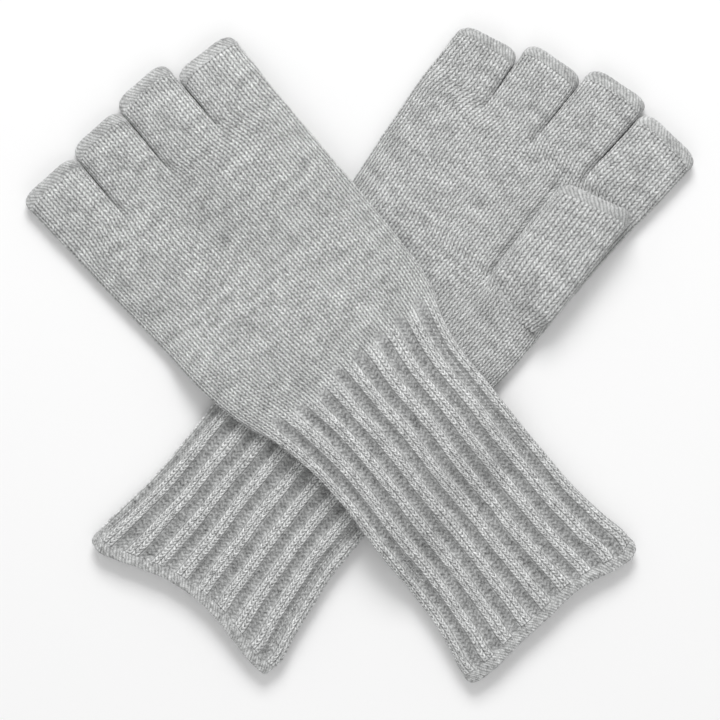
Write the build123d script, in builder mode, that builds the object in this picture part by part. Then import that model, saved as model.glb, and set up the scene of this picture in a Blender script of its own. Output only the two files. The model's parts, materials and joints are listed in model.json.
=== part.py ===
from build123d import *
import math
import os

# A pair of knitted fingerless gloves, laid flat and crossed: the right glove lies palm up on
# the surface, and the left glove lies back up across it. Millimetres, +Z up.
#
# Each glove is drawn in a plane of its own: x runs across the hand towards the index finger,
# y from the mouth of the cuff to the fingertips, and z upwards. Every piece is a flattened
# knitted tube, lofted through upright sections from one end to the other.

# ---- the knitting ----
LAYER = 1.6                 # one layer of the knitting
THICK = 8.2                 # a tube lying flat: two layers with air between them
EDGE = 4.0                  # the bound-off edge around each mouth
JOINT_GAP = 0.4             # between pieces that swing against each other
SIDE_GAP = 0.5              # between fingers that lie side by side

# ---- along a glove ----
WRIST = 132.0               # where the ribbed cuff meets the hand
FORK = 237.0                # where the fingers part
OUTLINE = [                 # distance from the cuff's mouth, full width there
    (0.0, 86.0),
    (12.0, 86.5),
    (30.0, 80.5),
    (50.0, 78.2),
    (100.0, 78.2),
    (118.0, 83.0),
    (136.0, 92.5),
    (155.0, 97.5),
    (185.0, 100.5),
    (FORK, 104.6),
]

# ---- fingers, from the little finger to the index finger ----
FINGERS = ["little", "ring", "middle", "index"]
FINGER_PITCH = 26.2
FINGERTIPS = {
    "right": {"little": 255.0, "ring": 264.0, "middle": 271.0, "index": 268.0},
    "left": {"little": 264.0, "ring": 267.0, "middle": 270.0, "index": 262.5},
}
FINGER_SWING = 80.0         # degrees, up from the surface

# ---- thumbs: the right one lies on the palm, the left one under it ----
THUMB_X = 32.0
THUMB_WIDTH = 29.6
THUMB_THICK = 7.8
THUMB_GAP = 0.3             # between the palm and the thumb lying on it
THUMB_ENDS = {"right": (177.0, 231.0), "left": (193.0, 236.0)}
THUMB_HOLE = (24.0, 13.0)   # hole from the hand into the thumb, across and along
THUMB_SWING = {"right": 90.0, "left": 75.0}

CUFF_SWING = 80.0           # the left cuff folds up at the wrist

# ---- how each glove lies ----
# The height of its underside at the little finger's side, the middle and the index finger's
# side. The left glove climbs over the right one and over its own thumb.
OVER_GLOVE = 10.0
LYING = {
    "right": [(0.0, 0.0, 0.0, 0.0), (FORK, 0.0, 0.0, 0.0)],
    "left": [
        (0.0, 0.0, 0.0, 0.0),
        (37.0, 0.0, 0.0, 0.0),
        (51.0, 6.3, 3.3, 0.0),
        (59.0, OVER_GLOVE, 7.0, 3.7),
        (66.0, OVER_GLOVE, OVER_GLOVE, 6.8),
        (73.0, OVER_GLOVE, OVER_GLOVE, OVER_GLOVE),
        (160.0, OVER_GLOVE, OVER_GLOVE, OVER_GLOVE),
        (168.0, 6.6, OVER_GLOVE, OVER_GLOVE),
        (176.0, 3.2, 9.6, OVER_GLOVE),
        (185.0, 0.0, 8.4, OVER_GLOVE),
        (192.0, 0.0, 8.1, OVER_GLOVE),
        (FORK, 0.0, 8.1, OVER_GLOVE),
    ],
}
LEFT_TURN = 78.0            # the left glove's fingers point 78 degrees round from the right's
PLANES = {
    "right": Plane(origin=(11.07, -135.5, 0.0), x_dir=(1, 0, 0), z_dir=(0, 0, 1)),
    "left": Plane(
        origin=(130.07, -49.5, 0.0),
        x_dir=(math.cos(math.radians(LEFT_TURN)), math.sin(math.radians(LEFT_TURN)), 0),
        z_dir=(0, 0, 1),
    ),
}


def read_off(table, y):
    """The row of a table at distance y, in a straight line between the rows around it."""
    for before, after in zip(table, table[1:]):
        if y <= after[0]:
            share = (y - before[0]) / (after[0] - before[0])
            return [a + (b - a) * share for a, b in zip(before[1:], after[1:])]
    raise ValueError(f"no row at {y}")


def straight_reach(width, thick):
    """Half the width of a section between its two round sides."""
    return (width - thick) / 2


def body_station(glove, y):
    """The section of a hand or cuff at y: y, centre, width, thickness, underside heights."""
    width = read_off(OUTLINE, y)[0]
    return (y, 0.0, width, THICK, read_off(LYING[glove], y))


def body_stations(glove, start, end):
    """The sections from start to end: both ends and every row of the tables between."""
    rows = [row[0] for row in OUTLINE + LYING[glove]]
    inside = [y for y in rows if start < y < end]
    return [body_station(glove, y) for y in sorted({start, end, *inside})]


def underside(glove, y, x):
    """The height of a hand's underside at a point, on the arch through its three heights."""
    _, _, width, thick, (little, middle, index) = body_station(glove, y)
    reach = straight_reach(width, thick)
    slope = (index - little) / (2 * reach)
    bend = (index + little - 2 * middle) / (2 * reach**2)
    return middle + slope * x + bend * x**2


def section(glove, station, inset=0.0):
    """The upright outline of a tube at a station, or of its hollow at a given inset."""
    y, x, width, thick, (little, middle, index) = station
    reach = straight_reach(width, thick)
    base = PLANES[glove]
    upright = Plane(
        origin=base.from_local_coords(Vector(x, y, 0)),
        x_dir=base.x_dir,
        z_dir=-base.y_dir,
    )
    flat = abs(little + index - 2 * middle) < 0.01
    with BuildSketch(upright) as outline:
        with BuildLine():
            for level in (inset, thick - inset):
                if flat:
                    Line((-reach, little + level), (reach, index + level))
                else:
                    ThreePointArc(
                        (-reach, little + level), (0, middle + level), (reach, index + level)
                    )
            for side, height in ((-1, little), (1, index)):
                ThreePointArc(
                    (side * reach, height + inset),
                    (side * (width / 2 - inset), height + thick / 2),
                    (side * reach, height + thick - inset),
                )
        make_face()
    return outline.sketch


def knitted_tube(glove, stations, hollow_stations=None):
    """A tube one layer thick, open at both ends unless its hollow is given apart."""
    with BuildPart() as tube:
        loft(sections=[section(glove, station) for station in stations], ruled=True)
        loft(
            sections=[section(glove, station, LAYER) for station in hollow_stations or stations],
            ruled=True,
            mode=Mode.SUBTRACT,
        )
    return tube


def hinge(name, part, glove, point, direction, swing):
    """The line that a piece swings about, from a point and direction in the glove's plane."""
    base = PLANES[glove]
    start = base.from_local_coords(Vector(*point))
    end = base.from_local_coords(Vector(*point) + Vector(*direction))
    RevoluteJoint(name, part, axis=Axis(start, end - start), angular_range=(0, swing))


# ---- cuff ----


def cuff_edge(glove):
    """The bound-off edge around the mouth of the cuff."""
    return knitted_tube(glove, body_stations(glove, 0.0, EDGE))


def cuff(glove):
    """The long ribbed cuff, up to the wrist. The left one folds up there."""
    end = WRIST - JOINT_GAP if glove == "left" else WRIST
    tube = knitted_tube(glove, body_stations(glove, EDGE, end))
    if glove == "left":
        top = underside(glove, WRIST, 0.0) + THICK
        hinge("wrist", tube.part, glove, (0, WRIST, top), (-1, 0, 0), CUFF_SWING)
    return tube


# ---- thumb ----


def thumb_floor(glove):
    """The height of the thumb's underside."""
    return THICK + THUMB_GAP if glove == "right" else 0.0


def thumb_station(glove, y):
    """The thumb's section at y."""
    floor = thumb_floor(glove)
    return (y, THUMB_X, THUMB_WIDTH, THUMB_THICK, (floor, floor, floor))


def thumb_hole(glove):
    """The passage between the hollows of the hand and the thumb, at the thumb's root."""
    across, along = THUMB_HOLE
    y = THUMB_ENDS[glove][0] + LAYER + along / 2
    hand_middle = underside(glove, y, THUMB_X) + THICK / 2
    thumb_middle = thumb_floor(glove) + THUMB_THICK / 2
    with BuildPart() as passage:
        with BuildSketch(PLANES[glove].offset(min(hand_middle, thumb_middle))):
            with Locations((THUMB_X, y)):
                RectangleRounded(across, along, 3)
        extrude(amount=abs(hand_middle - thumb_middle))
    return passage.part


def thumb(glove):
    """The thumb: closed at its root, where the hole in its underside meets the palm's."""
    root, tip = THUMB_ENDS[glove]
    end = thumb_station(glove, tip - EDGE)
    tube = knitted_tube(
        glove,
        [thumb_station(glove, root), end],
        [thumb_station(glove, root + LAYER), end],
    )
    with tube:
        add(thumb_hole(glove), mode=Mode.SUBTRACT)
    if glove == "right":
        height = THICK + THUMB_GAP / 2
        turn = (1, 0, 0)
    else:
        height = THUMB_THICK + THUMB_GAP / 2
        turn = (-1, 0, 0)
    point = (THUMB_X, root - THUMB_GAP, height)
    hinge("root", tube.part, glove, point, turn, THUMB_SWING[glove])
    return tube


def thumb_edge(glove):
    """The bound-off edge around the thumb's mouth."""
    tip = THUMB_ENDS[glove][1]
    return knitted_tube(glove, [thumb_station(glove, tip - EDGE), thumb_station(glove, tip)])


# ---- hand ----


def hand(glove):
    """The hand, from the wrist to the fork, with the hole that leads into the thumb."""
    tube = knitted_tube(glove, body_stations(glove, WRIST, FORK - JOINT_GAP / 2))
    with tube:
        add(thumb_hole(glove), mode=Mode.SUBTRACT)
    return tube


# ---- fingers ----


def finger_station(glove, finger, y):
    """A finger's section at y: as the hand lies at the fork, and flat down at its tip."""
    width = FINGER_PITCH - SIDE_GAP
    x = (FINGERS.index(finger) - 1.5) * FINGER_PITCH
    reach = straight_reach(width, THICK)
    root = FORK + JOINT_GAP / 2
    share = (y - root) / (FINGERTIPS[glove][finger] - root)
    little, index = [underside(glove, FORK, x + side * reach) * (1 - share) for side in (-1, 1)]
    return (y, x, width, THICK, (little, (little + index) / 2, index))


def finger_tube(glove, finger):
    """A finger's short tube, which folds up about the top of its root."""
    root = FORK + JOINT_GAP / 2
    tip = FINGERTIPS[glove][finger]
    first = finger_station(glove, finger, root)
    tube = knitted_tube(glove, [first, finger_station(glove, finger, tip - EDGE)])
    _, x, width, _, (little, middle, index) = first
    across = (2 * straight_reach(width, THICK), 0, index - little)
    hinge("knuckle", tube.part, glove, (x, FORK, middle + THICK), across, FINGER_SWING)
    return tube


def finger_edge(glove, finger):
    """The bound-off edge around a finger's mouth."""
    tip = FINGERTIPS[glove][finger]
    ends = [finger_station(glove, finger, y) for y in (tip - EDGE, tip)]
    return knitted_tube(glove, ends)


def glove_pieces(glove):
    """Every piece of a glove, by its name."""
    pieces = {
        "cuff_edge": cuff_edge(glove),
        "cuff": cuff(glove),
        "hand": hand(glove),
        "thumb": thumb(glove),
        "thumb_edge": thumb_edge(glove),
    }
    for finger in FINGERS:
        pieces[f"{finger}_finger"] = finger_tube(glove, finger)
        pieces[f"{finger}_finger_edge"] = finger_edge(glove, finger)
    return pieces


os.makedirs("parts", exist_ok=True)
for glove in ("right", "left"):
    for piece, tube in glove_pieces(glove).items():
        tube.part.label = f"{glove}_{piece}"
        export_step(tube.part, f"parts/{glove}_{piece}.step")
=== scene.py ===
import json
import math

import bpy
import numpy as np
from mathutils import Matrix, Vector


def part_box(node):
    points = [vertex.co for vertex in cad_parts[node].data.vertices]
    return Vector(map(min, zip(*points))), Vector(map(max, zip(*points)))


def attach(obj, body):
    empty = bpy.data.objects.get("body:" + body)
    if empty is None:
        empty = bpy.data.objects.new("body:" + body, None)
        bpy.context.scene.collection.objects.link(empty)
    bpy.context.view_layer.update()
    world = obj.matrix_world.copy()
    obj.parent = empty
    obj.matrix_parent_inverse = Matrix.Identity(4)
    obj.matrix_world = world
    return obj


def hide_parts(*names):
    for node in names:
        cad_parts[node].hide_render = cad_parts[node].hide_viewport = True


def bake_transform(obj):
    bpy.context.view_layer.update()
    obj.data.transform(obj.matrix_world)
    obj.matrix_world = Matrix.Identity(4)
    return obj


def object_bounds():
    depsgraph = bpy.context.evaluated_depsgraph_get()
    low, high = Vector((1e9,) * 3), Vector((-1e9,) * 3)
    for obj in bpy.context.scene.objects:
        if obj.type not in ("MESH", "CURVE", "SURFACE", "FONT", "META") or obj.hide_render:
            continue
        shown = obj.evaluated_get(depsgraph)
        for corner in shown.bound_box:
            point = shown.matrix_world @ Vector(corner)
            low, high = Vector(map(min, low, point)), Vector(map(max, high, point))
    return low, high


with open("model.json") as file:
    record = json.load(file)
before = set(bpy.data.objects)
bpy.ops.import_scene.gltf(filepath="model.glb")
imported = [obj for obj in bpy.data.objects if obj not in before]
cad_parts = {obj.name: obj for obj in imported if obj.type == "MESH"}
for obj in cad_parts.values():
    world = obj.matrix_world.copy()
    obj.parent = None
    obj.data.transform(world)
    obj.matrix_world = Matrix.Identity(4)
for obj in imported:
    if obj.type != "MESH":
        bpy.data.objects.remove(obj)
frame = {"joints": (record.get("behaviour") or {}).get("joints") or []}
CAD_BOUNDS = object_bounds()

# A pair of knitted fingerless gloves, lying crossed. Each glove is worked out in a flat frame of
# its own, in millimetres: x across the hand towards the index finger, y from the cuff's mouth to
# the fingertips, z up. Distances around a tube are counted in wales (columns of stitches) and
# distances along it in courses (rows of stitches).

MM = 0.001

# ---- knitting ----
BODY_WALES = 72            # stitches around the cuff and the hand
FINGER_WALES = 20
THUMB_WALES = 20
WALE_COLUMNS = 4           # mesh columns in each wale: two for each leg of a stitch
COURSE_ROWS = 3            # mesh rows in each course
COURSE = 1.7556            # height of a course
LAYER = 1.7                # thickness of one layer
STITCH_RELIEF = 0.55       # how far a leg stands out of the gaps around it
CHEVRON = 2.1              # courses that a leg's two sides climb, for each wale
RIB_WALES = 4              # two knit and two purl
RIB_RELIEF = 1.25          # how far a rib stands out from the mean surface
EDGE_COURSES = 2           # the bound-off edge
ROOT_COURSES = 5           # in which a finger's stitches settle from where the hand left them
WRIST_COURSE = 75
BODY_HALF = (3.0, 3.3)     # half thickness of the cuff and of the hand, lying flat
FINGER_HALF = 3.1
THUMB_HALF = 3.1
REST_GAP = 0.25            # between fabrics that lie on each other

FINGERS = ["little", "ring", "middle", "index"]


# ------------------------------------------------------------------ small tools


def smoothstep(value):
    """0 below 0, 1 above 1, and an S between them."""
    t = np.clip(value, 0.0, 1.0)
    return t * t * (3 - 2 * t)


def hermite(rows, y, column):
    """A smooth curve through one column of a table whose first column is the distance."""
    at = np.array([row[0] for row in rows], float)
    value = np.array([row[column] for row in rows], float)
    slope = np.gradient(value, at)
    y = np.clip(y, at[0], at[-1])
    i = np.clip(np.searchsorted(at, y, side="right") - 1, 0, len(at) - 2)
    step = at[i + 1] - at[i]
    t = (y - at[i]) / step
    return (
        (1 + 2 * t) * (1 - t) ** 2 * value[i]
        + t * (1 - t) ** 2 * step * slope[i]
        + t * t * (3 - 2 * t) * value[i + 1]
        + t * t * (t - 1) * step * slope[i + 1]
    )


def ripple(seed, a, b, size_a, size_b, round_a=None):
    """Smooth noise from -1 to 1 with bumps of the given sizes, repeating over round_a."""
    cells = 64
    around = cells if round_a is None else max(1, round(round_a / size_a))
    table = np.random.default_rng(seed).uniform(-1, 1, (around, cells))
    fa = np.asarray(a, float) * (around / round_a if round_a else 1 / size_a)
    fb = np.asarray(b, float) / size_b
    ia, ib = np.floor(fa).astype(int), np.floor(fb).astype(int)
    ta, tb = smoothstep(fa - ia), smoothstep(fb - ib)

    def corner(da, db):
        return table[(ia + da) % around, (ib + db) % cells]

    low = corner(0, 0) * (1 - ta) + corner(1, 0) * ta
    high = corner(0, 1) * (1 - ta) + corner(1, 1) * ta
    return low * (1 - tb) + high * tb


# ------------------------------------------------------------------ the gloves' frames


def joint(name):
    return next(j for j in frame["joints"] if j["name"] == name)


class Place:
    """A glove's own frame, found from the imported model."""

    def __init__(self, origin, across):
        self.across = np.array([across[0], across[1], 0.0]) / math.hypot(*across[:2])
        self.along = np.array([-self.across[1], self.across[0], 0.0])
        self.origin = np.array([origin[0], origin[1], 0.0])

    def out(self, points):
        """Points in millimetres in the glove's frame, as points in metres in the row's."""
        p = np.asarray(points, float) * MM
        flat = p[..., :1] * self.across + p[..., 1:2] * self.along
        return self.origin + flat + p[..., 2:] * np.array([0, 0, 1.0])

    def back(self, points):
        """The other way round."""
        d = np.asarray(points, float) - self.origin
        return np.stack([d @ self.across, d @ self.along, d[..., 2]], -1) / MM


def right_place():
    low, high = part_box("right_cuff_edge")
    return Place(((low.x + high.x) / 2, low.y), (1, 0))


def left_place():
    wrist = joint("left_cuff_fold")
    to_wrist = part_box("right_hand")[0].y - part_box("right_cuff_edge")[0].y
    place = Place((0, 0), (-wrist["axis"][0], -wrist["axis"][1]))
    place.origin = np.array([*wrist["pos_m"][:2], 0.0]) - place.along * to_wrist
    return place


RIGHT, LEFT = right_place(), left_place()
FORK = float(RIGHT.back(joint("right_ring_finger_fold")["pos_m"])[1])

# Distance along, left side, right side. Each glove lies a little differently.
SIDES = {
    "right": [
        (0, -46.0, 42.6), (6, -44.8, 43.2), (16, -43.0, 41.4), (28, -41.2, 40.0), (44, -40.0, 38.4),
        (64, -39.4, 38.8), (90, -39.0, 38.6), (112, -39.8, 38.8), (126, -42.6, 41.0),
        (140, -46.4, 44.2), (160, -49.4, 46.2), (184, -51.4, 47.2), (208, -53.2, 48.4),
        (226, -54.0, 49.8), (240, -54.0, 51.4), (256, -53.6, 53.0), (272, -53.6, 54.0),
    ],
    "left": [
        (0, -41.8, 44.2), (6, -42.6, 45.4), (16, -40.4, 43.6), (28, -38.3, 42.0), (44, -37.2, 41.4),
        (64, -37.0, 41.6), (88, -35.4, 42.3), (106, -36.0, 42.9), (118, -37.9, 45.1),
        (130, -41.0, 48.8), (142, -44.8, 50.7), (156, -47.4, 51.4), (180, -48.9, 51.9),
        (208, -50.8, 52.0), (232, -52.0, 52.3), (256, -53.4, 53.0), (272, -54.0, 53.4),
    ],
}
# Distance across, how far the hem lies from a straight line there.
HEMS = {
    "right": [
        (-45, -1.0), (-41, -2.8), (-32, -1.2), (-22, 2.0), (-12, 4.6), (0, 5.6), (12, 4.6),
        (24, 1.8), (36, -1.0), (42, -1.4), (46, -0.8),
    ],
    "left": [
        (-43, 1.6), (-39, 0.6), (-30, 0.0), (-18, 0.9), (0, 1.4), (14, 2.2), (24, 0.8),
        (34, -1.4), (41, -1.6), (46, 0.6),
    ],
}
# Where the slits between the fingers are, at the fork and at the tips.
SLITS = {
    "right": ((-27.2, -3.0, 22.2), (-28.4, -2.3, 24.8)),
    "left": ((-26.2, -0.6, 25.4), (-26.0, -0.4, 25.6)),
}
SLIT_REACH = {"right": 6.0, "left": 2.5}   # how far each slit runs on into the hand as a crease
# Each finger's tip: distance along at its middle, rise from its little-finger side to the other.
TIPS = {
    "right": {
        "little": (254.4, 4.4), "ring": (263.4, 1.4), "middle": (271.2, 1.8), "index": (267.6, -3.0),
    },
    "left": {
        "little": (264.4, 0.6), "ring": (266.8, 0.6), "middle": (269.6, 0.4), "index": (262.0, -1.4),
    },
}
THUMB_MIDDLE = {"right": (31.6, 31.9), "left": (32.0, 32.0)}
# From its hinge, where the right thumb's rise out of the palm starts and ends.
THUMB_RISE = (-20.0, 16.0)
THUMB_HALF_WIDTH = (15.3, 14.7)
THUMB_TIP = {"right": (229.4, 6.6), "left": (234.5, 0.8)}
RIB_SHIFT = {"right": 1.0, "left": -2.0}   # wales from the side fold to the middle of a rib
FIRST_RIB_END = 123.5      # where the ribs start to sink into the plain knitting
RIB_FADE = 9.0             # over which they sink
RIB_END_WANDER = 2.0       # how far single ribs end before or after that
RIB_WANDER = 0.16          # wales that a rib strays to its sides
RIB_SHARPNESS = 1.7        # higher makes the ribs' sides steeper
RIB_BIAS = 0.12            # makes the ribs wider than the troughs
HEM_REACH = 46             # as far up as the courses follow the hem
SEEDS = {"right": 11, "left": 47}


def sides(name, y):
    """The glove's left and right side at distance y."""
    return hermite(SIDES[name], y, 1), hermite(SIDES[name], y, 2)


# ------------------------------------------------------------------ how the gloves lie


def half_thickness(y):
    """Half the glove's thickness in its middle, from the cuff to the hand."""
    cuff, palm = BODY_HALF
    share = smoothstep((y - FIRST_RIB_END) / 24)
    return cuff + (palm - cuff) * share


def relief_height(y):
    """The most that ribs and stitches stand out from the mean surface."""
    share = smoothstep((y - FIRST_RIB_END) / RIB_FADE)
    return STITCH_RELIEF / 2 + RIB_RELIEF * (1 - share)


def flat_rise(y):
    """A glove's middle height where it lies on the surface."""
    return half_thickness(y) + relief_height(y)


def thumb_hinge(name):
    """The distance along the glove at which a thumb starts to swing."""
    place = RIGHT if name == "right" else LEFT
    return float(place.back(joint(f"{name}_thumb_swing")["pos_m"])[1])


def thumb_height(y):
    """The height of the right thumb's upper face over the palm."""
    start, end = THUMB_RISE
    full = 2 * THUMB_HALF + REST_GAP + STITCH_RELIEF
    return full * smoothstep((y - thumb_hinge("right") - start) / (end - start))


CREASE_BESIDE = 1.07       # where the crease beside the thumb is, in half widths of the thumb
CREASE_BESIDE_WIDTH = 1.4
CREASE_BESIDE_DEPTH = 0.9


def palm_swell(x, y):
    """How the right palm rises into the root of its thumb, and dips in a crease beside it."""
    c = np.abs((x - THUMB_MIDDLE["right"][0]) / THUMB_HALF_WIDTH[0])
    past = y - thumb_hinge("right")
    swell = thumb_height(y) * smoothstep((1.04 - c) / 0.34) * (1 - smoothstep((past - 1) / 5))
    off = (c - CREASE_BESIDE) * THUMB_HALF_WIDTH[0] / CREASE_BESIDE_WIDTH
    beside = np.exp(-(off**2))
    length = THUMB_TIP["right"][0] - thumb_hinge("right")
    crease = beside * smoothstep((past + 8) / 12) * (1 - smoothstep((past - length) / 3))
    return swell - CREASE_BESIDE_DEPTH * crease


def right_top(x, y):
    """The height of the right glove's upper face, and 0 beside it."""
    left, right = sides("right", y)
    c = np.abs((x - (left + right) / 2) / ((right - left) / 2))
    inside = (c < 1) & (y > 0) & (y < TIPS["right"]["ring"][0])
    body = half_thickness(y) * (1 - np.minimum(c, 1) ** 3) ** (1 / 3) + relief_height(y)
    return np.where(inside, flat_rise(y) + body, 0.0)


def left_thumb_top(x, y):
    """The height of the left thumb's upper face, which lies under its hand."""
    centre = THUMB_MIDDLE["left"][0]
    c = np.abs((x - centre) / THUMB_HALF_WIDTH[1])
    root = thumb_hinge("left")
    inside = (c < 1) & (y > root - 3) & (y < THUMB_TIP["left"][0] + 1)
    body = THUMB_HALF * (1 - np.minimum(c, 1) ** 3) ** (1 / 3)
    return np.where(inside, THUMB_HALF + body + STITCH_RELIEF, 0.0)


class Drape:
    """The height of the left glove's underside: cloth of a gentle bend laid over what is below."""

    STEP = 2.0             # between the points of its grid
    BEND_RADIUS = 60.0     # the least radius that the cloth bends to
    REACH = 36.0           # how far a high place holds up the cloth around it
    BLUR = 6               # rounds of softening

    def __init__(self):
        self.x = np.arange(-70.0, 70.1, self.STEP)
        self.y = np.arange(-30.0, 300.1, self.STEP)
        grid_x, grid_y = np.meshgrid(self.x, self.y, indexing="ij")
        below = RIGHT.back(LEFT.out(np.stack([grid_x, grid_y, grid_x * 0], -1)))
        height = np.maximum(right_top(below[..., 0], below[..., 1]), left_thumb_top(grid_x, grid_y))
        self.height = self.softened(self.bridged(height))

    def bridged(self, height):
        """Each point as high as its neighbours make it, less the drop of the cloth's bend."""
        best = height.copy()
        steps = int(self.REACH / self.STEP)
        padded = np.pad(height, steps, mode="edge")
        for i in range(-steps, steps + 1):
            for j in range(-steps, steps + 1):
                drop = (i * i + j * j) * self.STEP**2 / (2 * self.BEND_RADIUS)
                moved = padded[
                    steps + i : steps + i + height.shape[0], steps + j : steps + j + height.shape[1]
                ]
                best = np.maximum(best, np.where(moved > 0, moved - drop, 0))
        return best

    def softened(self, height):
        """The same, with its creases blurred."""
        for _ in range(self.BLUR):
            padded = np.pad(height, 1, mode="edge")
            height = (
                padded[1:-1, 1:-1] * 4
                + (padded[:-2, 1:-1] + padded[2:, 1:-1] + padded[1:-1, :-2] + padded[1:-1, 2:]) * 2
                + padded[:-2, :-2] + padded[2:, 2:] + padded[:-2, 2:] + padded[2:, :-2]
            ) / 16
        return height

    def at(self, x, y):
        fx = np.clip((x - self.x[0]) / self.STEP, 0, len(self.x) - 1.001)
        fy = np.clip((y - self.y[0]) / self.STEP, 0, len(self.y) - 1.001)
        i, j = np.floor(fx).astype(int), np.floor(fy).astype(int)
        tx, ty = fx - i, fy - j
        h = self.height
        return (
            h[i, j] * (1 - tx) * (1 - ty) + h[i + 1, j] * tx * (1 - ty)
            + h[i, j + 1] * (1 - tx) * ty + h[i + 1, j + 1] * tx * ty
        )


DRAPE = Drape()


def lie(name, x, y):
    """The height of a glove's middle, halfway between its two faces."""
    rise = flat_rise(y)
    if name == "left":
        over = DRAPE.at(x, y)
        rise = rise + over + REST_GAP * smoothstep(over / 4)
    return rise


# ------------------------------------------------------------------ sections of the tubes


def rounded(c, power):
    """How thick a flattened tube is at c, from -1 to 1 across it, as a share of its middle."""
    return (1 - np.minimum(np.abs(c), 1) ** power) ** (1 / power)


PUFF = 0.09                # how much thicker or thinner a face may bulge, as a share
PUFF_SIZE = (24, 30)       # the size of its bumps, across and along
PUFF_START = 200           # keeps the distance across above 0


def puff(name, x, y, upper):
    """How unevenly a glove's faces bulge, alike wherever two pieces meet."""
    over = ripple(SEEDS[name] + 4, x + PUFF_START, y, *PUFF_SIZE)
    under = ripple(SEEDS[name] + 5, x + PUFF_START, y, *PUFF_SIZE)
    return 1 + PUFF * np.where(upper > 0, over, under)


# Between two fingers the hand's faces dip towards each other, and meet in a narrow crease.
DIP, DIP_LENGTH, DIP_WIDTH = 0.5, 9, 2.6
CREASE, CREASE_WIDTH = 0.76, 1.0


def slit_pinch(name, x, y):
    """The share of its thickness that a hand keeps where its faces meet between two fingers."""
    dip = DIP * smoothstep((y - FORK + DIP_LENGTH) / DIP_LENGTH)
    crease = CREASE * smoothstep((y - FORK + SLIT_REACH[name] + 1.5) / 3)
    share = 1.0
    for slit in SLITS[name][0]:
        share = share * (1 - dip * np.exp(-(((x - slit) / DIP_WIDTH) ** 2)))
        share = share * (1 - crease * np.exp(-(((x - slit) / CREASE_WIDTH) ** 2)))
    return share


class Body:
    """The cuff and the hand: one tube from the hem to the fork."""

    wales = BODY_WALES
    first_wale = 0.0
    power = 3.0
    seed = 0
    plain_from, plain_to = EDGE_COURSES, FORK / COURSE
    edge_at = EDGE_COURSES

    def __init__(self, name):
        self.name = name

    def profile(self, y, c, upper, inset):
        left, right = sides(self.name, y)
        x = (left + right) / 2 + ((right - left) / 2 - inset) * c
        half = half_thickness(y) * puff(self.name, x, y, upper) - inset
        half = np.maximum(half * rounded(c, self.power) * slit_pinch(self.name, x, y), 0.0)
        z = lie(self.name, x, y) + upper * half
        if self.name == "right":
            z = z + palm_swell(x, y) * (upper > 0) * rounded(c, self.power)
        return x, z

    def matched(self, wales, turn_of):
        """The way round at each wale near the fork, where every finger takes up the same few."""
        slits = [turn_of(at) for at in SLITS[self.name][0]]
        turns = [0, *slits, 0.5, *(1 - turn for turn in slits[::-1]), 1]
        each = self.wales / 2 / len(FINGERS)
        return np.interp(wales, [each * i for i in range(len(turns))], turns)

    def distance(self, v, x):
        """The distance along of course v: the courses near the hem follow it."""
        y = v * COURSE
        return y + hermite(HEMS[self.name], x, 1) * (1 - smoothstep(y / HEM_REACH))

    def ribs(self, u, v):
        """How far the ribs lift a point: 1 on a rib, -1 in a trough, fading at the wrist."""
        wobble = RIB_WANDER * ripple(SEEDS[self.name] + 6, u, v, 4, 11, self.wales)
        turn = 2 * np.pi * (u + RIB_SHIFT[self.name] + wobble) / RIB_WALES
        wave = np.tanh(RIB_SHARPNESS * (np.cos(turn) + RIB_BIAS)) / np.tanh(RIB_SHARPNESS)
        return wave * self.ribbed(u, v) * smoothstep((v + 2) / 7)

    def ribbed(self, u, v):
        """1 where the knitting is ribbed, 0 where it is plain."""
        wander = RIB_END_WANDER * ripple(SEEDS[self.name], u, v * 0, 4, 1, self.wales)
        end = FIRST_RIB_END + wander
        return 1 - smoothstep((v * COURSE - end) / RIB_FADE)


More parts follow.
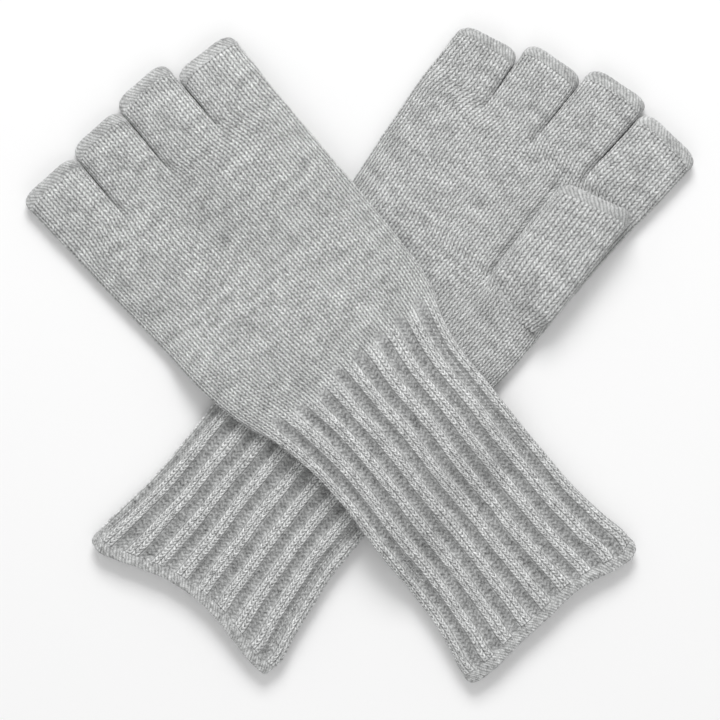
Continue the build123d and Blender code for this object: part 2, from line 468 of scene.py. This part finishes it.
class Finger:
    """A finger's tube, from the fork to its tip."""

    wales = FINGER_WALES
    first_wale = -0.5
    power = 2.7
    root_gap, tube_gap = 0.05, 0.25   # beside each slit at the fork, and what it grows by
    settle = 9             # in which the hand's section turns into the finger's
    corner_drop = 3.0      # how far the tip's corners are drawn back

    def __init__(self, name, finger):
        self.name = name
        self.k = FINGERS.index(finger)
        self.tip, self.rise = TIPS[name][finger]
        self.length = self.tip - FORK
        self.seed = 7 + self.k * 7
        self.plain_from, self.plain_to = 0, self.length / COURSE - EDGE_COURSES
        self.edge_at = self.plain_to

    def ends(self, y):
        """The finger's two sides."""
        share = np.clip((y - FORK) / self.length, 0, 1)
        left, right = sides(self.name, y)
        at_root, at_tip = SLITS[self.name]
        slits = [a + (b - a) * share for a, b in zip(at_root, at_tip)]
        lines = [left, *slits, right]
        gap = self.root_gap + self.tube_gap * smoothstep((y - FORK) / 6)
        low = lines[self.k] + (gap if self.k > 0 else 0)
        high = lines[self.k + 1] - (gap if self.k < 3 else 0)
        return low, high

    def profile(self, y, c, upper, inset):
        low, high = self.ends(y)
        x = (low + high) / 2 + ((high - low) / 2 - inset) * c
        left, right = sides(self.name, y)
        across = (x - (left + right) / 2) / ((right - left) / 2)
        root = half_thickness(y) * rounded(across, Body.power) * slit_pinch(self.name, x, FORK)
        tube = FINGER_HALF * rounded(c, self.power)
        share = smoothstep((y - FORK) / self.settle)
        half = (root * (1 - share) + tube * share) * puff(self.name, x, y, upper)
        half = np.maximum(half - inset * rounded(c, self.power), 0.0)
        return x, lie(self.name, x, y) + upper * half

    def matched(self, wales, turn_of):
        """The way round at each wale near the fork: the wales at the sides have no width there."""
        side, half = 0.5, self.wales / 2
        at = [0, side, half - side, half, half + side, self.wales - side, self.wales]
        return np.interp(wales, at, [0, 0.002, 0.498, 0.5, 0.502, 0.998, 1])

    def distance(self, v, x):
        share = v * COURSE / self.length
        low, high = self.ends(self.tip)
        c = np.clip((x - (low + high) / 2) / ((high - low) / 2), -1, 1)
        corner = -self.corner_drop * np.abs(c) ** 5
        end = self.length + self.rise * c / 2 + corner * smoothstep(share * 3 - 1.6)
        return FORK + share * (self.length + (end - self.length) * smoothstep(share))

    def ribs(self, u, v):
        return 0.0 * u

    ribbed = ribs


class Thumb:
    """A thumb's tube. It grows out of the palm at its root and lies along it."""

    wales = THUMB_WALES
    first_wale = -0.5
    power = 3.6
    tuck = 5.0             # how far the root starts before the hinge, inside the palm
    sink_reach = 9         # over which the root is narrower, and the right one's lies deeper
    narrowing = 0.16
    sink_depth = 1.4
    corner_drop = 1.6      # how far the tip's corners are drawn back
    # The left thumb starts thin inside its palm, and comes down out of it to the surface.
    grow_reach = 17
    thin_half = 0.9
    start_height = 2.0     # over the underside of the palm

    def __init__(self, name):
        self.name = name
        self.hinge = thumb_hinge(name)
        self.root = self.hinge - self.tuck
        self.tip, self.rise = THUMB_TIP[name]
        self.length = self.tip - self.root
        self.side = 1 if name == "right" else -1
        self.seed = 42
        self.plain_from, self.plain_to = 0, self.length / COURSE - EDGE_COURSES
        self.edge_at = self.plain_to

    def profile(self, y, c, upper, inset):
        share = np.clip((y - self.root) / self.length, 0, 1)
        wide_root, wide_tip = THUMB_HALF_WIDTH
        at_root, at_tip = THUMB_MIDDLE[self.name]
        sunk = 1 - smoothstep((y - self.root) / self.sink_reach)
        wide = (wide_root + (wide_tip - wide_root) * share) * (1 - self.narrowing * sunk)
        x = at_root + (at_tip - at_root) * share + (wide - inset) * c
        if self.side > 0:
            palm = lie("right", x, y) + half_thickness(y) + relief_height(y)
            top = thumb_height(y)
            half = (top - REST_GAP) / 2
            middle = palm + top - half - self.sink_depth * sunk
        else:
            palm = lie("left", x, y) - half_thickness(y)
            grown = smoothstep((y - self.root) / self.grow_reach)
            half = self.thin_half + (THUMB_HALF - self.thin_half) * grown
            low = THUMB_HALF + STITCH_RELIEF / 2
            start = self.start_height
            middle = palm + start + (low - palm - start) * grown
        half = np.maximum((half - inset) * rounded(c, self.power), 0.0)
        return x, middle + upper * half

    def matched(self, wales, turn_of):
        return wales / self.wales

    def distance(self, v, x):
        share = v * COURSE / self.length
        c = np.clip((x - THUMB_MIDDLE[self.name][1]) / THUMB_HALF_WIDTH[1], -1, 1)
        corner = -self.corner_drop * np.abs(c) ** 7 * smoothstep(share * 4 - 2.8)
        return self.root + share * (self.length + self.rise * c / 2 * smoothstep(share)) + corner

    def ribs(self, u, v):
        return 0.0 * u

    ribbed = ribs


# ------------------------------------------------------------------ stitches


def leg_shape(u, v, whim):
    """How far plain stitches stand out at wale u and course v, each by its own whim."""
    leg = np.sin(np.pi * ((u * 2) % 1.0)) ** 0.8
    pillow = 0.45 + 0.55 * np.sin(np.pi * (v % 1.0)) ** 0.6
    return leg * pillow * whim


def purl_shape(u, v):
    """The same in the troughs of the ribs: low bars lying across."""
    return 0.45 + 0.35 * np.cos(2 * np.pi * v) + 0.12 * np.cos(2 * np.pi * u)


def edge_shape(u, v):
    """The same on a bound-off edge: slanted chain stitches."""
    return 0.25 + 0.5 * np.abs(np.sin(np.pi * (u + 0.6 * v)))


# ------------------------------------------------------------------ meshes


SECTION_STEPS = 1440       # steps around a tube in which its section is measured
MATCH_REACH = 14           # as far from the fork as the wales shift over to the fingers'
SIDE_CROWDING = 0.35       # how much closer the stitches stand around the side folds


def section_points(tube, y, inset, wales):
    """x and z around a tube at distance y, at the given wales."""
    phi = np.linspace(0, 2 * np.pi, SECTION_STEPS + 1)
    c = -np.cos(phi)
    x, z = tube.profile(np.full_like(c, y), c, np.sign(np.sin(phi)), inset)
    near = smoothstep(1 - abs(y - FORK) / MATCH_REACH)
    crowd = 1 + SIDE_CROWDING * np.abs(c) ** 8 * (1 - near)
    step = np.hypot(np.diff(x), np.diff(z)) * (crowd[1:] + crowd[:-1]) / 2
    length = np.concatenate([[0], np.cumsum(step)])
    turns = length / length[-1]
    even = (wales / tube.wales) % 1.0
    half = len(phi) // 2
    matched = tube.matched(wales, lambda at: np.interp(at, x[: half + 1], turns[: half + 1]))
    share = even * (1 - near) + matched * near
    return np.interp(share, turns, x), np.interp(share, turns, z)


def surface(tube, u, v, inset=0.0):
    """Points of a tube's smooth surface at wales u and courses v, two arrays of one shape."""
    wales = (u[0] + tube.first_wale) % tube.wales
    low, high = v.min() - 4, v.max() + 4
    table_v = np.arange(low, high + 0.5, 1.0)
    table_y = tube.distance(table_v, np.zeros_like(table_v))
    table = np.array([section_points(tube, y, inset, wales) for y in table_y])
    columns = np.arange(u.shape[1])[None, :]

    def look_up(y):
        f = np.interp(y, table_y, np.arange(len(table_y)))
        i = np.clip(np.floor(f).astype(int), 0, len(table_y) - 2)
        t = f - i
        both = [table[i, k, columns] * (1 - t) + table[i + 1, k, columns] * t for k in (0, 1)]
        return both[0], both[1]

    x, _ = look_up(tube.distance(v, np.zeros_like(v)))
    y = tube.distance(v, x)
    x, z = look_up(y)
    return np.stack([x, y, z], -1)


def outward(points, forward):
    """The outward direction at each point of a tube's grid, whose rows run forward or back."""
    across = np.roll(points, -1, axis=1) - np.roll(points, 1, axis=1)
    along = np.gradient(points, axis=0)
    n = np.cross(across, along) * (1 if forward else -1)
    return n / np.maximum(np.linalg.norm(n, axis=-1, keepdims=True), 1e-9)


# How far the stitches stray: each wale to its sides, each course up and down, and each leg's
# relief from the others'.
WALE_WANDER, COURSE_SWAY, LEG_WHIM = 0.12, 0.16, 0.24
EDGE_SWELL = 0.22          # how far a bound-off edge bulges in its middle


def stitched(tube, name, first, last, edge):
    """A tube's outer face from course first to last: with stitches, smooth, and its maps."""
    columns = tube.wales * WALE_COLUMNS
    rows = round(abs(last - first) * COURSE_ROWS)
    u, v = np.meshgrid(
        np.arange(columns) / WALE_COLUMNS, np.linspace(first, last, rows + 1), indexing="xy"
    )
    seed = SEEDS[name] + tube.seed
    rib = tube.ribs(u, v)
    purl = smoothstep(0.2 - rib * 2)
    inward = smoothstep((v - tube.plain_from) / 3) * smoothstep((tube.plain_to - v) / 3)
    slope = 0.25 - np.abs(((u + 0.5) % 1.0) - 0.5)
    climb = CHEVRON * slope * (1 - 0.9 * purl) * smoothstep(np.abs(v - tube.edge_at) / 1.2)
    wander = WALE_WANDER * ripple(seed + 1, u, v, 3, 7, tube.wales)
    sway = COURSE_SWAY * ripple(seed + 2, u, v, 6, 9, tube.wales)
    smooth = surface(tube, u, v + climb * (not edge) + sway * inward)
    out = outward(smooth, last > first)
    across = np.roll(smooth, -1, axis=1) - smooth
    own = ripple(seed + 3, np.floor(u * 2), np.floor(v), 1.01, 1.01, tube.wales * 2)
    whim = 1 + LEG_WHIM * own
    if edge:
        height = edge_shape(u, v)
    else:
        height = leg_shape(u, v, whim) * (1 - purl) + purl_shape(u, v) * purl * 0.8
    rim = np.clip((v - first) / (last - first), 0, 1) if edge else 0 * v
    lift = rib * RIB_RELIEF * (1 - 0.6 * smoothstep(rim)) + (height - 0.5) * STITCH_RELIEF
    lift = lift + EDGE_SWELL * np.sin(np.pi * rim)
    points = smooth + across * (wander * inward * WALE_COLUMNS)[..., None] + out * lift[..., None]
    # The bottom of each rib's trough is darkened in its colour: painted shade.
    maps = {"purl": purl, "painted_shade": np.clip(-rib, 0, 1), "ribbed": tube.ribbed(u, v)}
    return points, smooth, u, v, maps


def finger_root(fork_row, k):
    """The points of the hand's last row that finger k's first row takes up, all the way round."""
    each = BODY_WALES * WALE_COLUMNS // (2 * len(FINGERS))
    upper = fork_row[k * each : (k + 1) * each + 1]
    back = (2 * len(FINGERS) - k - 1) * each
    lower = np.take(fork_row, np.arange(back, back + each + 1), axis=0, mode="wrap")
    share = np.arange(1, WALE_COLUMNS)[:, None] / WALE_COLUMNS

    def across(a, b):
        return a + (b - a) * share

    left, right = across(lower[-1], upper[0]), across(upper[-1], lower[0])
    return np.concatenate([lower[-1:], left, upper, right, lower[:-1]])


# What the maps say on a tube's inner face, which lies in shade: its colour there is darkened as
# painted shade.
INNER_FACE = {"purl": 0.0, "painted_shade": 0.6, "ribbed": 0.0}
LIP_ANGLES = [30, 60, 90, 120, 150]   # the rows of the rounded lip, from outside to inside


def shell(tube, name, first, last, lip, edge=False, root_row=None):
    """A closed shell one layer thick: outer face, lip or plain end, and inner face."""
    points, smooth, u, v, maps = stitched(tube, name, first, last, edge)
    if root_row is not None:
        near = 1 - smoothstep(v / ROOT_COURSES)
        points = points + (root_row - points[0]) * near[..., None]
    inner_rows = max(2, round(abs(last - first) / 2) + 1)
    inner_u, inner_v = np.meshgrid(u[0], np.linspace(last, first, inner_rows), indexing="xy")
    inside = surface(tube, inner_u, inner_v, LAYER)
    blocks, courses = [points], [v]
    maps = {key: [values] for key, values in maps.items()}
    if lip:
        start, end = points[-1], inside[0]
        middle = (start + end) / 2
        onward = smooth[-1] - smooth[-3]
        onward /= np.maximum(np.linalg.norm(onward, axis=-1, keepdims=True), 1e-9)
        radius = np.linalg.norm(start - end, axis=-1, keepdims=True) / 2
        for angle in np.radians(LIP_ANGLES):
            row = middle + (start - middle) * math.cos(angle) + onward * radius * math.sin(angle)
            blocks.append(row[None])
            courses.append(v[-1:] + np.sign(last - first) * angle / 3)
            for values in maps.values():
                values.append(values[0][-1:])
    blocks.append(inside)
    courses.append(inner_v)
    for key, values in maps.items():
        values.append(INNER_FACE[key] + 0.0 * inner_u)
    maps = {key: np.concatenate(values) for key, values in maps.items()}
    sharp = {0, len(points) - 1 if not lip else -1, sum(len(b) for b in blocks) - 1}
    if not lip:
        sharp.add(len(points))
    return np.concatenate(blocks), maps, u[0], np.concatenate(courses), sharp


def grid_mesh(name, rows, maps, wales, courses, sharp, place, flip):
    """A mesh object from a grid that closes on itself both ways, with its stitch map."""
    count, around = rows.shape[:2]
    index = np.arange(count * around).reshape(count, around)
    side = np.roll(index, -1, axis=1)
    quads = [index, side, np.roll(side, -1, axis=0), np.roll(index, -1, axis=0)]
    u = np.broadcast_to(wales, (count, around))
    v_next = np.roll(courses, -1, axis=0)
    v_next[-1] = courses[-1]
    u_next = u + wales[1] - wales[0]
    corners = [(u, courses), (u_next, np.roll(courses, -1, axis=1))]
    corners += [(u_next, np.roll(v_next, -1, axis=1)), (u, v_next)]
    if flip:
        quads, corners = quads[::-1], corners[::-1]
    quads = np.stack(quads, -1).reshape(-1, 4)
    uv = np.stack([np.stack(pair, -1) for pair in corners], 2)

    mesh = bpy.data.meshes.new(name)
    mesh.vertices.add(count * around)
    mesh.vertices.foreach_set("co", place.out(rows).reshape(-1).astype(np.float32))
    mesh.loops.add(quads.size)
    mesh.loops.foreach_set("vertex_index", quads.reshape(-1).astype(np.int32))
    mesh.polygons.add(len(quads))
    mesh.polygons.foreach_set("loop_start", np.arange(0, quads.size, 4, dtype=np.int32))
    mesh.polygons.foreach_set("use_smooth", np.ones(len(quads), bool))
    mesh.update(calc_edges=True)
    layer = mesh.uv_layers.new(name="stitches")
    layer.data.foreach_set("uv", uv.reshape(-1).astype(np.float32))
    for key, values in maps.items():
        attribute = mesh.attributes.new(key, "FLOAT", "POINT")
        attribute.data.foreach_set("value", values.reshape(-1).astype(np.float32))
    ends = np.zeros(len(mesh.edges) * 2, np.int32)
    mesh.edges.foreach_get("vertices", ends)
    row_of = ends.reshape(-1, 2) // around
    crease = (row_of[:, 0] == row_of[:, 1]) & np.isin(row_of[:, 0], list(sharp))
    attribute = mesh.attributes.new("sharp_edge", "BOOLEAN", "EDGE")
    attribute.data.foreach_set("value", crease)
    piece = bpy.data.objects.new(name, mesh)
    bpy.context.scene.collection.objects.link(piece)
    return piece


# ------------------------------------------------------------------ materials


class Graph:
    """A material's nodes, made by short calls. Values are numbers or other nodes' outputs."""

    def __init__(self, material):
        material.use_nodes = True
        self.tree = material.node_tree
        self.tree.nodes.clear()

    def node(self, kind, **settings):
        node = self.tree.nodes.new(kind)
        for key, value in settings.items():
            setattr(node, key, value)
        return node

    def put(self, socket, value):
        if isinstance(value, bpy.types.NodeSocket):
            self.tree.links.new(value, socket)
        else:
            socket.default_value = value

    def calc(self, operation, a, b=0.0, c=0.0):
        node = self.node("ShaderNodeMath", operation=operation)
        for socket, value in zip(node.inputs, (a, b, c)):
            self.put(socket, value)
        return node.outputs[0]

    def total(self, *values):
        result = values[0]
        for value in values[1:]:
            result = self.calc("ADD", result, value)
        return result

    def times(self, *values):
        result = values[0]
        for value in values[1:]:
            result = self.calc("MULTIPLY", result, value)
        return result

    def hump(self, value, power):
        """1 in the middle of each whole number, 0 at its ends."""
        centred = self.calc("MULTIPLY_ADD", self.calc("FRACT", value), 2.0, -1.0)
        return self.calc("SUBTRACT", 1.0, self.calc("POWER", self.calc("ABSOLUTE", centred), power))

    def noise(self, vector, scale, detail=2.0, roughness=0.6, stretch=(1, 1, 1)):
        mapping = self.node("ShaderNodeMapping")
        self.put(mapping.inputs["Vector"], vector)
        mapping.inputs["Scale"].default_value = stretch
        texture = self.node("ShaderNodeTexNoise")
        self.put(texture.inputs["Vector"], mapping.outputs["Vector"])
        texture.inputs["Scale"].default_value = scale
        texture.inputs["Detail"].default_value = detail
        texture.inputs["Roughness"].default_value = roughness
        return texture.outputs["Fac"]

    def attribute(self, name):
        return self.node("ShaderNodeAttribute", attribute_name=name).outputs["Fac"]

    def mix(self, factor, a, b):
        """Between two numbers."""
        node = self.node("ShaderNodeMix", data_type="FLOAT")
        for socket, value in zip((node.inputs[0], node.inputs[2], node.inputs[3]), (factor, a, b)):
            self.put(socket, value)
        return node.outputs[0]


# Brightness, how streaky, how grainy, and how much deeper the gaps between wales are than those
# inside them, both in the bumps and in the painted shade, in plain knitting and in ribs.
PLAIN_LOOK = (0.58, 0.55, 0.45, 0.15)
RIB_LOOK = (0.605, 0.30, 1.20, 0.70)


STRAND_SHARE, FIBRE_SHARE, LEG_SHARE = 0.6, 0.95, 0.14   # how much each varies the brightness
TUFT_SCALE, FIBRE_SCALE = 700.0, 1700.0                  # bumps in a metre
# Painted shade in the eye between a stitch's two legs and in the gaps between the stitches.
EYE_DEPTH = 0.6            # the dark eye between a stitch's two legs
GAP_LIGHT, GAP_LEAST = 0.33, -0.3   # how bright a gap stays, and the deepest that one counts
# Painted shade at the bottom of a rib's trough and on a tube's inner face.
TROUGH_SHADE = -0.30       # how much darker the bottom of a trough is
DARKEST = 0.03
TINT = (0.992, 1.004, 0.998)        # a grey with a trace of green


def yarn_material(name, edge=False):
    """Melange yarn: streaks along the courses, painted shade between the stitches and in the ribs'
    troughs, fine fibres.
    """
    material = bpy.data.materials.new(name)
    graph = Graph(material)
    output = graph.node("ShaderNodeOutputMaterial")
    shader = graph.node("ShaderNodeBsdfPrincipled")
    graph.put(output.inputs["Surface"], shader.outputs["BSDF"])
    shader.inputs["Roughness"].default_value = 0.95
    shader.inputs["Specular IOR Level"].default_value = 0.15
    shader.inputs["Sheen Weight"].default_value = 0.3
    shader.inputs["Sheen Roughness"].default_value = 0.6

    stitches = graph.node("ShaderNodeUVMap", uv_map="stitches").outputs["UV"]
    place = graph.node("ShaderNodeTexCoord").outputs["Object"]
    axes = graph.node("ShaderNodeSeparateXYZ")
    graph.put(axes.inputs[0], stitches)
    wale, course = axes.outputs[0], axes.outputs[1]

    ribbed = graph.attribute("ribbed")
    look = [graph.mix(ribbed, plain, rib) for plain, rib in zip(PLAIN_LOOK, RIB_LOOK)]
    tone, streak, grain, parting = look

    half_wale = graph.times(wale, 2.0)
    leg_cell = graph.node("ShaderNodeCombineXYZ")
    graph.put(leg_cell.inputs[0], graph.calc("FLOOR", half_wale))
    graph.put(leg_cell.inputs[1], graph.calc("FLOOR", course))
    leg_whim = graph.node("ShaderNodeTexWhiteNoise", noise_dimensions="2D")
    graph.put(leg_whim.inputs["Vector"], leg_cell.outputs[0])

    streaks = graph.noise(stitches, 1.0, 3.0, 0.6, (0.14, 0.45, 1))
    patches = graph.noise(stitches, 1.0, 1.0, 0.5, (0.45, 0.35, 1))
    strands = graph.noise(stitches, 1.0, 3.0, 0.7, (9.0, 2.4, 1))
    tufts = graph.noise(place, TUFT_SCALE, 2.0, 0.7)
    fibres = graph.noise(place, FIBRE_SCALE, 3.0, 0.7)
    if edge:
        slant = graph.total(half_wale, graph.times(course, 0.9), graph.times(patches, 1.2))
        pattern = graph.calc("MULTIPLY_ADD", graph.hump(slant, 2.0), 0.42, 0.24)
    else:
        in_course = graph.hump(course, 3.0)
        between_legs = graph.calc("SUBTRACT", 1.0, graph.hump(half_wale, 2.0))
        between_wales = graph.calc("SUBTRACT", 1.0, graph.hump(wale, 1.0))
        everywhere = graph.calc("SUBTRACT", 1.0, parting)
        depth = graph.calc("MULTIPLY_ADD", between_wales, parting, everywhere)
        groove = graph.times(between_legs, depth)
        leg = graph.calc("SUBTRACT", 1.0, groove)
        leg = graph.times(leg, graph.calc("MULTIPLY_ADD", in_course, 0.7, 0.3))
        middle = graph.calc("POWER", graph.hump(wale, 1.0), 6.0)
        eye = graph.times(middle, graph.calc("SUBTRACT", 1.0, in_course))
        knit = graph.calc("SUBTRACT", leg, graph.times(eye, EYE_DEPTH))
        wave = graph.times(graph.calc("COSINE", graph.times(wale, 2 * math.pi)), 0.3)
        bars = graph.hump(graph.total(course, 0.5, wave), 1.6)
        purl = graph.calc("MULTIPLY_ADD", bars, 0.42, 0.22)
        pattern = graph.mix(graph.attribute("purl"), knit, purl)

    light = graph.total(
        tone,
        graph.times(graph.total(streaks, -0.5), streak),
        graph.times(graph.total(patches, -0.5), streak, 0.4),
        graph.times(graph.total(strands, -0.5), STRAND_SHARE),
        graph.times(graph.total(tufts, -0.5), grain),
        graph.times(graph.total(fibres, -0.5), FIBRE_SHARE),
        graph.times(graph.total(leg_whim.outputs["Value"], -0.5), LEG_SHARE),
    )
    # Painted shade in the gaps between the stitches, from the same pattern that makes their bumps.
    gaps = graph.calc("MULTIPLY_ADD", graph.calc("MAXIMUM", pattern, GAP_LEAST), 1.0, GAP_LIGHT)
    # Painted shade: darker at the bottom of a rib's trough and on a tube's inner face.
    dip = graph.calc("MULTIPLY_ADD", graph.attribute("painted_shade"), TROUGH_SHADE, 1.0)
    value = graph.calc("MAXIMUM", graph.times(light, gaps, dip), DARKEST)
    colour = graph.node("ShaderNodeCombineColor")
    for socket, share in zip(colour.inputs, TINT):
        graph.put(socket, graph.times(value, share))
    graph.put(shader.inputs["Base Color"], colour.outputs[0])

    bump = graph.node("ShaderNodeBump")
    bump.inputs["Strength"].default_value = 0.7
    bump.inputs["Distance"].default_value = 0.0005
    height = graph.total(pattern, graph.times(strands, 0.5), graph.times(fibres, 0.5))
    graph.put(bump.inputs["Height"], height)
    graph.put(shader.inputs["Normal"], bump.outputs["Normal"])
    return material


def plain_material(name, colour, roughness):
    """One even colour, for the studio's floor."""
    material = bpy.data.materials.new(name)
    material.use_nodes = True
    shader = material.node_tree.nodes["Principled BSDF"]
    shader.inputs["Base Color"].default_value = (*colour, 1)
    shader.inputs["Roughness"].default_value = roughness
    return material


MATERIALS = {
    "stockinette": yarn_material("stockinette_yarn"),
    "rib": yarn_material("rib_yarn"),
    "bound_edge": yarn_material("edge_yarn", edge=True),
}


# ------------------------------------------------------------------ the pieces


def make_piece(node, tube, first, last, lip, slot, edge=False, root_row=None):
    """One knitted section, in place of its CAD node."""
    name = node.split("_")[0]
    rows, maps, wales, courses, sharp = shell(tube, name, first, last, lip, edge, root_row)
    place = RIGHT if name == "right" else LEFT
    piece = grid_mesh(f"knit_{node}", rows, maps, wales, courses, sharp, place, last < first)
    piece.data.materials.append(MATERIALS[slot])
    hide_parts(node)
    return piece


WRIST_BEND, FINGER_BEND, THUMB_BEND = 26, 12.0, 15.0   # the lengths from each one's start to its end, as given to bend
THUMB_BEND_LEAD = 2        # how far before a thumb's hinge lies the start that is given to bend


def bend(piece, name, start, end):
    """Bakes the piece's placement into its mesh. The piece does not turn; the points at the two
    distances along the glove go unused.
    """
    place = RIGHT if name == "right" else LEFT
    from_point, to_point = place.out([(0, start, 0), (0, end, 0)])
    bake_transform(piece)


def make_body(name):
    """The bound-off hem, the ribbed cuff and the hand."""
    tube = Body(name)
    fork = FORK / COURSE
    hem = make_piece(f"{name}_cuff_edge", tube, EDGE_COURSES, 0, True, "bound_edge", edge=True)
    cuff = make_piece(f"{name}_cuff", tube, EDGE_COURSES, WRIST_COURSE, False, "rib")
    hand = make_piece(f"{name}_hand", tube, WRIST_COURSE, fork, False, "stockinette")
    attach(hand, f"{name}_glove")
    if name == "left":
        wrist = WRIST_COURSE * COURSE
        bend(hem, name, wrist, wrist - WRIST_BEND)
        bend(cuff, name, wrist, wrist - WRIST_BEND)
    else:
        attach(hem, "right_glove")
        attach(cuff, "right_glove")


def make_tube(name, part, tube, root, fold, root_row=None):
    """A finger's or a thumb's tube and its bound-off edge."""
    courses = tube.length / COURSE
    body = make_piece(
        f"{name}_{part}", tube, 0, courses - EDGE_COURSES, False, "stockinette", root_row=root_row
    )
    edge = make_piece(
        f"{name}_{part}_edge", tube, courses - EDGE_COURSES, courses, True, "bound_edge", edge=True
    )
    for piece in (body, edge):
        bend(piece, name, root, root + fold)


def make_glove(name):
    make_body(name)
    fork_row = stitched(Body(name), name, WRIST_COURSE, FORK / COURSE, False)[0][-1]
    for k, finger in enumerate(FINGERS):
        tube = Finger(name, finger)
        make_tube(name, f"{finger}_finger", tube, FORK, FINGER_BEND, finger_root(fork_row, k))
    thumb = Thumb(name)
    make_tube(name, "thumb", thumb, thumb.hinge - THUMB_BEND_LEAD, THUMB_BEND)


# ------------------------------------------------------------------ the studio


FLOOR_REACH = 12.0         # metres from the middle to a side
FLOOR_DROP = 0.0002        # under the gloves
FLOOR_WHITE = (0.97, 0.97, 0.97)


def make_floor():
    mesh = bpy.data.meshes.new("floor")
    reach = FLOOR_REACH
    level = CAD_BOUNDS[0].z - FLOOR_DROP
    signs = [(-1, -1), (1, -1), (1, 1), (-1, 1)]
    corners = [(reach * x, reach * y, level) for x, y in signs]
    mesh.from_pydata(corners, [], [(0, 1, 2, 3)])
    floor = bpy.data.objects.new("floor", mesh)
    floor.data.materials.append(plain_material("floor_white", FLOOR_WHITE, 0.9))
    bpy.context.scene.collection.objects.link(floor)


def make_light(name, energy, size, position):
    data = bpy.data.lights.new(name, "AREA")
    data.energy = energy
    data.size = size
    light = bpy.data.objects.new(name, data)
    light.location = position
    to_centre = (CAD_BOUNDS[0] + CAD_BOUNDS[1]) / 2 - light.location
    light.rotation_mode = "QUATERNION"
    light.rotation_quaternion = to_centre.to_track_quat("-Z", "Y")
    bpy.context.scene.collection.objects.link(light)


def make_world():
    world = bpy.data.worlds.new("studio")
    world.use_nodes = True
    background = world.node_tree.nodes["Background"]
    background.inputs["Color"].default_value = (1.0, 1.0, 1.0, 1)
    background.inputs["Strength"].default_value = 0.5
    bpy.context.scene.world = world
    bpy.context.scene.view_settings.view_transform = "Standard"


VIEW_WIDTH = 0.288         # what the picture spans at the gloves' height
VIEW_CENTRE = (-4.6, 120.7)   # in the right glove's frame
VIEW_HEIGHT = 8.0          # millimetres up, where the view is that wide
VIEW_TURN = 37.62          # the right glove's fingers point this far right of the picture's top
VIEW_DISTANCE = 1.8        # from the camera to the gloves


def make_camera():
    data = bpy.data.cameras.new("camera")
    data.sensor_width = 36.0
    data.lens = data.sensor_width * VIEW_DISTANCE / VIEW_WIDTH
    data.clip_start, data.clip_end = 0.05, 60.0
    camera = bpy.data.objects.new("camera", data)
    centre = RIGHT.out([(*VIEW_CENTRE, VIEW_HEIGHT)])[0]
    camera.location = (centre[0], centre[1], centre[2] + VIEW_DISTANCE)
    camera.rotation_euler = (0, 0, math.radians(VIEW_TURN))
    bpy.context.scene.collection.objects.link(camera)
    bpy.context.scene.camera = camera


make_glove("right")
make_glove("left")
make_floor()
make_light("key", 32.0, 1.0, (-1.0, 1.3, 1.4))
make_light("fill", 8.0, 2.2, (1.0, -1.2, 1.6))
make_world()
make_camera()
